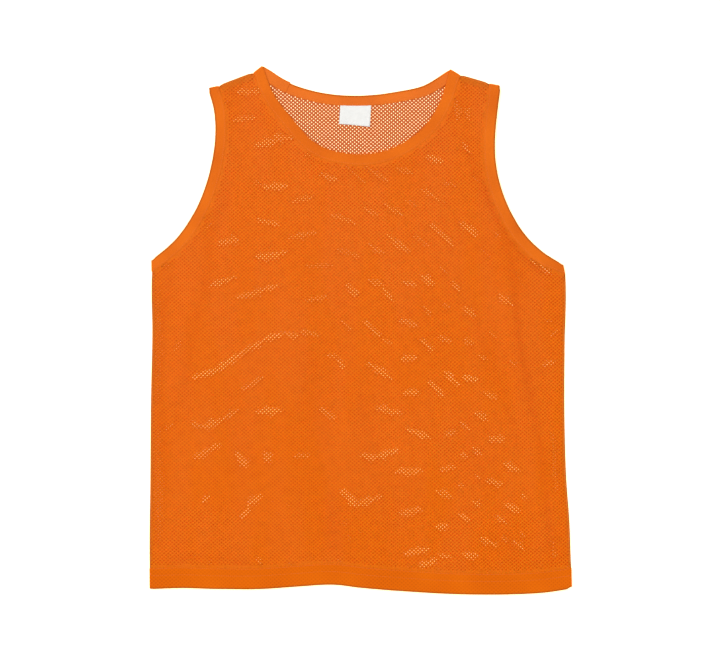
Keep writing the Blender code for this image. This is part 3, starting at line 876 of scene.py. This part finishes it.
def front_evenness(points):
    """Where the front is drawn close: along its tapes, and in a strip below the shoulder seams."""
    by_tape = close_by(points, bound_edges, *CLOSE_BY_TAPE)
    by_shoulder = close_by(points, plain_edges[2:], *CLOSE_BY_SHOULDER)
    return np.maximum(by_tape, 0.8 * by_shoulder) * (1 - np.minimum(1.0, 1.6 * clearness(points)))


def front_levels(points):
    """Height of the front: lifted to the tapes at its bound edges, down on the back elsewhere."""
    to_tape, to_plain = nearest_of(points, bound_edges), nearest_of(points, plain_edges)
    lift = (EDGE_LEVEL - FRONT_LEVEL) * (1 - ease(to_tape / TAPE_LIFT_REACH))
    lift *= ease(to_plain / CORNER_REACH)
    to_edge = np.minimum(to_tape, to_plain)
    folds = soft_folds_at(points) * ease(to_edge / FOLD_EDGE_REACH)
    creases = CREASE_DEPTH * creases_at(points) * ease(to_edge / CREASE_EDGE_REACH)
    return FRONT_LEVEL + lift + folds + creases


front_cloth = net_finish("front_mesh", FRONT_SHADES, glow=0.42)
flat, faces, lay = knit_net(front_outline, FRONT_SLIDE, evenness=front_evenness)
front_net = add_piece(
    "front_net", np.column_stack([flat, front_levels(flat)]), faces, front_cloth, lay,
    fold=creases_at(flat), clear=clearness(flat), even=front_evenness(flat),
)
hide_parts("front_panel")

# ---- Neck binding ------------------------------------------------------------------------------
# One strip of close-knit tape, folded over the cut neck edge and sewn through near its inner edge.
# It begins and ends on the back by the left neck point, where its last end laps over its first.
TAPE_STEP = 2.6
BACK_TAPE_LEVEL, FOLD_RADIUS, FOLD_LEVEL, FOLD_STEPS = 0.8, 1.05, 1.85, 8
CORNER_RUN = 6.0
STITCH_PITCH, STITCH_LENGTH, THREAD_RADIUS = 2.9, 2.1, 0.21
TAPE_ROW = (2.6, 0.62)  # its stitches: in from the seam edge, height over its middle
TAPE_ORANGE, TAPE_DARK, TAPE_LIGHT = (0.76, 0.153, 0.006), (0.60, 0.10, 0.003), (0.84, 0.19, 0.011)
TAPE_LIT = (0.80, 0.24, 0.065)  # where light comes through from the table
THREAD_ORANGE, THREAD_DARK = (0.86, 0.20, 0.022), (0.60, 0.10, 0.008)
# Painted shade along a free edge: how far in it reaches, and how strong it is there.
RIM_REACH, RIM_SHARE = (0.0, 0.2, 0.6, 1.6, 3.0), (1.0, 1.0, 0.75, 0.36, 0.0)
WAVE, PUCKER = 0.10, 0.14  # how far a tape is out of true along itself, and at its stitches

# By the right neck point the back of the tape lies up on the front. Across: from, over how much.
RISE, RISE_IN, RISE_OUT = 0.9, (84.0, 20.0), (118.0, 10.0)
# The painted shade along the free edge runs out by the right fold.
NECK_RIM_OUT = (112.0, 14.0)  # where its dark rim runs out

# Half of a tape's section. Columns: share of the width, inward from there, height over its middle.
TAPE_SECTION = [
    (0.0, 0.0, 0.0), (0.0, 0.15, 0.42), (0.0, 0.6, 0.66), (0.0, 1.6, 0.76), (0.0, 3.0, 0.77),
    (0.35, 0.0, 0.78), (0.65, 0.0, 0.77), (1.0, -3.5, 0.75), (1.0, -3.0, 0.67), (1.0, -2.6, 0.62),
    (1.0, -2.2, 0.66), (1.0, -1.6, 0.66), (1.0, -0.8, 0.52), (1.0, -0.2, 0.24), (1.0, 0.0, 0.0),
]

# The lapped end's section, over its top and back below. Columns: share of the width, height, and
# rim: below 0 painted shade at its edges, above 0 painted light.
LAP_END, LAP_PAST = -92.5, 0.15  # across, and the share of a step that it runs past there
LAP_PROUD, LAP_SPREAD = 0.9, 14.0  # it stands out of the neck's edge, twice as far after this run
LAP_SECTION = [
    (0.0, 1.1, -1.0), (0.012, 1.7, -0.7), (0.04, 1.92, -0.3), (0.1, 2.0, 0.4), (0.5, 2.0, 0.4),
    (0.88, 2.0, 0.4), (0.94, 1.95, 0.4), (0.965, 1.85, 0.4), (0.97, 1.6, 0.4), (0.965, 1.45, 0.4),
    (0.94, 1.45, 0.4), (0.88, 1.45, 0.4), (0.5, 1.45, 0.4), (0.1, 1.45, 0.4), (0.04, 1.2, -0.3),
    (0.012, 0.7, -0.7),
]


def tape_finish():
    """Close knit tape: fine wales along it, each a chain of small loops, matt with a soft bloom."""
    cloth = Finish(
        "tape_knit", Sheen_Weight=0.15, Sheen_Roughness=0.45, Sheen_Tint=(1.0, 0.5, 0.07, 1.0),
        Specular_IOR_Level=0.1,
    )
    run = cloth.node("UVMap", {"uv_map": "run"})
    along, around = cloth.parts(run)
    from_wale = ((around / 0.82).to("FRACT") - 0.5).to("ABSOLUTE")
    loops = ((along / 0.95 + from_wale * 0.8) * (2 * math.pi)).to("SINE")
    knit = (0.5 - from_wale) * 1.3 + loops * 0.22
    place = cloth.node("TexCoord", None, 3)
    broad = cloth.noise(place, 18.0, 1.0)
    fine = cloth.noise(run, 0.8, 3.0)
    tone = knit * 0.30 + broad * 0.5 + fine * 0.35
    shade = cloth.mix(cloth.between(tone, 0.25, 0.65), TAPE_DARK, TAPE_ORANGE)
    shade = cloth.mix(cloth.between(tone, 0.60, 0.95), shade, TAPE_LIGHT)
    # Painted shade along the free edge, and painted light where light comes through from the table.
    shade = cloth.mix(cloth.mark("fold") * 0.4, with_painted_rim_shade(cloth, shade), TAPE_LIT)
    cloth.feed(Base_Color=shade, Roughness=0.70 + fine * 0.2)
    cloth.relief(knit + fine * 0.3, 0.16 * MM)
    cloth.let_through(0.12, YARN_GLOW)
    return cloth


def thread_finish():
    """Polyester sewing thread: two plies twisted together, a little glossier than the cloth."""
    thread = Finish("sewing_thread", Specular_IOR_Level=0.45, Sheen_Weight=0.1)
    place = thread.node("TexCoord", None, 3)
    across, up = thread.parts(place)
    twist = ((across + up) * (2 * math.pi / 0.0007)).to("SINE") * 0.5 + 0.5
    uneven = thread.noise(place, 900.0)
    shade = thread.mix(twist * 0.6 + uneven * 0.4, THREAD_DARK, THREAD_ORANGE)
    thread.feed(Base_Color=shade, Roughness=0.45 + uneven * 0.2)
    thread.relief(twist, 0.08 * MM)
    return thread


def over_the_fold(free, seam, back_along):
    """Stations that carry a tape over its fold, from the front level down to the back level."""
    fold = seam - free
    outward = np.array([-fold[1], fold[0]]) / math.hypot(*fold)
    if outward @ (back_along - free) > 0:
        outward = -outward
    stations = []
    for k in range(1, FOLD_STEPS):
        angle = math.pi * k / FOLD_STEPS
        shift = outward * FOLD_RADIUS * math.sin(angle)
        level = FOLD_LEVEL + FOLD_RADIUS * math.cos(angle)
        stations.append(((*(free + shift), level), (*(seam + shift), level)))
    return stations


def rounded_ends(free, seam, rounding):
    """The free edge drawn in towards the seam at its two folds, so that the corners are round."""
    walked = walked_along(free)
    first, last = (amount * (1 - ease(to_end / CORNER_RUN))
                   for amount, to_end in zip(rounding, (walked, walked[-1] - walked)))
    across = (seam - free) / np.hypot(*(seam - free).T)[:, None]
    return free + across * (first + last)[:, None]


def tape_ring(front_free, front_seam, back_free, back_seam, rounding):
    """Stations of a tape along the front, over the fold, along the back and over again."""
    front_free = rounded_ends(front_free, front_seam, rounding)
    back_free = rounded_ends(back_free, back_seam, rounding)
    front = [((*f, TAPE_LEVEL), (*s, TAPE_LEVEL)) for f, s in zip(front_free, front_seam)]
    back = [((*f, BACK_TAPE_LEVEL), (*s, BACK_TAPE_LEVEL)) for f, s in zip(back_free, back_seam)]
    over = over_the_fold(front_free[-1], front_seam[-1], front_free[-4])
    under = over_the_fold(front_free[0], front_seam[0], front_free[3])
    return np.array(front + over + back[::-1] + under[::-1])


def frames_of(ring):
    """Directions along, across and out of a tape at each station, and its width there."""
    middle = ring.mean(axis=1)
    along = np.roll(middle, -1, axis=0) - np.roll(middle, 1, axis=0)
    across = ring[:, 1] - ring[:, 0]
    width = np.linalg.norm(across, axis=1)
    across /= width[:, None]
    outward = np.cross(along, across)
    outward /= np.linalg.norm(outward, axis=1)[:, None]
    if outward[5, 2] < 0:
        outward = -outward
    along = np.cross(across, outward)
    return along, across, outward, width


def add_tape(name, ring, section, finish, seed, rim=1.0, bright=0.0):
    """A folded tape along its ring, a little uneven in height and puckered along its stitches. rim
    is how strong the painted shade along its free edge is at each station, bright how much painted
    light it gets there, for the light that comes through it."""
    _, across, outward, width = frames_of(ring)
    steps = steps_round(ring.mean(axis=1))
    turns = 2 * math.pi * summed(steps)[:-1] / steps.sum()
    phases = np.random.default_rng(seed).uniform(0, 2 * math.pi, 6)
    broad = sum(np.sin(turns * n + p) for n, p in zip((7, 13, 23), phases)) / 3
    pucker = sum(np.sin(turns * n + p) for n, p in zip((61, 97, 151), phases[3:])) / 3
    rows = section + [(share, inward, -height) for share, inward, height in section[-2:0:-1]]
    rings = np.empty((len(ring), len(rows), 3))
    for k, (share, inward, height) in enumerate(rows):
        place = share * width + inward
        near_seam = ease((place / width - 0.55) / 0.35)
        on_front = ease((ring[:, 0, 2] - 2.2) / 0.5) * (height > 0)
        lift = height + on_front * (WAVE * broad + WAVE * pucker * near_seam)
        sway = PUCKER * pucker * (share == 1.0) - WAVE * broad * (share == 0.0)
        rings[:, k] = ring[:, 0] + across * (place + sway)[:, None] + outward * lift[:, None]
    # Painted shade along the free edge, and painted light where light comes through.
    dark = [-np.interp(inward, RIM_REACH, RIM_SHARE) * (share == 0.0) for share, inward, _ in rows]
    lit = [share > 0.0 or inward > 2.0 for share, inward, _ in rows]
    stations = np.ones(len(ring))
    fold = np.outer(stations * rim, dark) + np.outer(stations * bright, lit)
    vertices, faces, run = skin(rings, closed=True)
    return add_piece(name, vertices, faces, finish, run=run, fold=fold.ravel())


def add_stitches(name, ring, rows, finish):
    """Lockstitches along a tape. Rows: how far in from the seam edge, height, side of the tape."""
    along, across, outward, _ = frames_of(ring)
    steps = steps_round(ring.mean(axis=1))
    knots = summed(steps)
    # One stitch, pointed at both ends. Columns: along, across, up.
    turns = [math.pi / 3 * k for k in range(6)]
    template = [(-0.5, 0.0, -0.16)]
    for share, radius in ((-0.34, 0.85), (0.0, 1.0), (0.34, 0.85)):
        template += [(share, radius * math.cos(turn) * THREAD_RADIUS,
                      radius * math.sin(turn) * THREAD_RADIUS) for turn in turns]
    template.append((0.5, 0.0, -0.16))
    sides = [(k, (k + 1) % 6) for k in range(6)]
    pattern = [(0, 1 + b, 1 + a) for a, b in sides] + [(19, 13 + a, 13 + b) for a, b in sides]
    pattern += [(n + a, n + b, n + b + 6, n + a + 6) for n in (1, 7) for a, b in sides]
    vertices, faces = [], []
    for inset, height, side in rows:
        count = int(knots[-1] / STITCH_PITCH)
        for at in (np.arange(count) + 0.5) * knots[-1] / count:
            i = int(np.searchsorted(knots, at, side="right") - 1)
            t = (at - knots[i]) / steps[i]
            j = (i + 1) % len(ring)
            seam = ring[i, 1] * (1 - t) + ring[j, 1] * t
            a, c, o = (v[i] * (1 - t) + v[j] * t for v in (along, across, outward))
            spot = seam - c * inset + o * side * height
            faces += [[len(vertices) + k for k in face] for face in pattern]
            vertices += [spot + a * x * STITCH_LENGTH + c * y + o * side * z
                         for x, y, z in template]
    return add_piece(name, vertices, faces, finish)


tape_cloth, thread = tape_finish(), thread_finish()

free_neck_front = smooth_curve(FRONT_NECK, TAPE_STEP)
free_neck_back = smooth_curve(BACK_NECK, TAPE_STEP)
seam_neck_back = seam_line(free_neck_back, NECK_TAPE_BACK, -1, NECK_FOLDS)
neck_ring = tape_ring(
    free_neck_front, seam_line(free_neck_front, NECK_TAPE_FRONT, -1, NECK_FOLDS),
    free_neck_back - square_to(free_neck_back, -1) * PROUD_NECK, seam_neck_back, (0.0, 0.2),
)
across, on_back = neck_ring[:, 0, 0], neck_ring[:, 0, 2] < 1.0
rising = ease((across - RISE_IN[0]) / RISE_IN[1]) * ease((RISE_OUT[0] - across) / RISE_OUT[1])
neck_ring[:, :, 2] += RISE * (rising * on_back)[:, None]
# Painted shade along its free edge, full on the back and faint on the front; painted light on the
# back.
neck_rim = np.where(on_back, 1.0, 0.1) * ease((NECK_RIM_OUT[0] - across) / NECK_RIM_OUT[1])
neck_tape = add_tape("neck_tape", neck_ring, TAPE_SECTION, tape_cloth, 3, neck_rim, 0.4 * on_back)
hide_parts("neck_binding")
neck_rows = [(*TAPE_ROW, 1), (*TAPE_ROW, -1)]
neck_stitches = add_stitches("neck_stitches", neck_ring, neck_rows, thread)

# The lapped end: a second layer over the back of the tape, from the left fold to the join.
lap_line = free_neck_back[free_neck_back[:, 0] < LAP_END]
lap_seam = seam_neck_back[: len(lap_line)]
lap_end = LAP_PAST * (lap_line[-1] - lap_line[-2])
lap_line, lap_seam = (np.vstack([line, line[-1] + lap_end]) for line in (lap_line, lap_seam))
lap_proud = LAP_PROUD + LAP_PROUD * ease(walked_along(lap_line) / LAP_SPREAD)
lap_rings = []
for free, seam, proud in zip(lap_line, lap_seam, lap_proud):
    free = free - (seam - free) * (proud / NECK_TAPE_BACK)
    lap_rings.append([(*(free * (1 - t) + seam * t), level) for t, level, _ in LAP_SECTION])
vertices, faces, run = skin(np.array(lap_rings), closed=False)
lap_rim = np.tile([rim for _, _, rim in LAP_SECTION], len(lap_rings))
neck_lap = add_piece("neck_tape_lap", vertices, faces, tape_cloth, run=run, fold=lap_rim)

# ---- Armhole bindings --------------------------------------------------------------------------
# The same tape once round each armhole. It turns over at the shoulder and again under the arm. The
# right one stands as far out of the cut as the side seam below it.
for side, rows, folds, turn, seed, proud in (
    ("left", ARMHOLE_LEFT, LEFT_FOLDS, 1, 5, 0.0),
    ("right", ARMHOLE_RIGHT, RIGHT_FOLDS, -1, 7, PROUD_RIGHT),
):
    free = smooth_curve(rows, TAPE_STEP)
    seam = seam_line(free, ARMHOLE_TAPE, turn, folds)
    free = free - square_to(free, turn) * proud
    ring = tape_ring(free, seam, free, seam, (1.3, 0.7))
    tape = add_tape("armhole_tape_" + side, ring, TAPE_SECTION, tape_cloth, seed)
    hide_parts("armhole_binding_" + side)
    stitches = add_stitches("armhole_stitches_" + side, ring, [(*TAPE_ROW, 1)], thread)

# ---- Hem ---------------------------------------------------------------------------------------
# The bottom of both panels, turned up double and held by two rows of stitches, so that no light
# comes through it and only a faint trace of the holes shows.
HEM_ROWS = ((1.4, 0.60, 1), (10.6, 0.60, 1))  # in from its upper edge, height, side
HEM_DARK, HEM_ORANGE, HEM_LIGHT = (0.55, 0.085, 0.001), (0.69, 0.122, 0.001), (0.76, 0.150, 0.002)
HEM_SECTION = [
    (0.0, 0.0, 0.0), (0.0, 0.15, 0.42), (0.0, 0.6, 0.64), (0.0, 1.6, 0.72), (0.0, 3.0, 0.73),
    (0.25, 0.0, 0.74), (1.0, -13.0, 0.75), (1.0, -11.4, 0.71), (1.0, -10.9, 0.66),
    (1.0, -10.6, 0.62), (1.0, -10.3, 0.66), (1.0, -9.8, 0.71), (1.0, -6.0, 0.76),
    (1.0, -2.4, 0.72), (1.0, -1.8, 0.64), (1.0, -1.4, 0.60), (1.0, -1.0, 0.54),
    (1.0, -0.3, 0.30), (1.0, 0.0, 0.0),
]


def hem_finish():
    """The mesh doubled: its holes are closed by the layer behind and show as faint dimples with
    painted shade.
    """
    cloth = Finish(
        "hem_mesh", Sheen_Weight=0.08, Sheen_Roughness=0.5, Sheen_Tint=(1.0, 0.45, 0.03, 1.0),
        Specular_IOR_Level=0.05,
    )
    place = cloth.node("TexCoord", None, 3)
    across, up = (part * 1000.0 for part in cloth.parts(place))
    strand = cloth.between(to_nearest_hole(across, up), 0.5, 1.5)
    broad = cloth.noise(place, 16.0, 1.0)
    fine = cloth.noise(place, 800.0, 3.0)
    # Darker at each closed hole, a painted shade in its dimple, and uneven in tone.
    tone = strand * 0.30 + broad * 0.6 + fine * 0.30
    shade = cloth.mix(cloth.between(tone, 0.25, 0.72), HEM_DARK, HEM_ORANGE)
    shade = cloth.mix(cloth.between(tone, 0.70, 1.05), shade, HEM_LIGHT)
    cloth.feed(Base_Color=with_painted_rim_shade(cloth, shade), Roughness=0.72 + fine * 0.2)
    cloth.relief(strand + fine * 0.3, 0.2 * MM)
    cloth.let_through(0.12, YARN_GLOW)
    return cloth


free_hem_fine = smooth_curve(HEM_EDGE, TAPE_STEP)
seam_hem_fine = seam_line(free_hem_fine, HEM_DEPTH, 1, HEM_FOLDS)
free_hem_fine = free_hem_fine - square_to(free_hem_fine, 1) * PROUD_HEM
hem_ring = tape_ring(free_hem_fine, seam_hem_fine, free_hem_fine, seam_hem_fine, (0.4, 2.4))
hem = add_tape("hem", hem_ring, HEM_SECTION, hem_finish(), 11)
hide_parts("hem_band")
hem_stitches = add_stitches("hem_stitches", hem_ring, HEM_ROWS, thread)
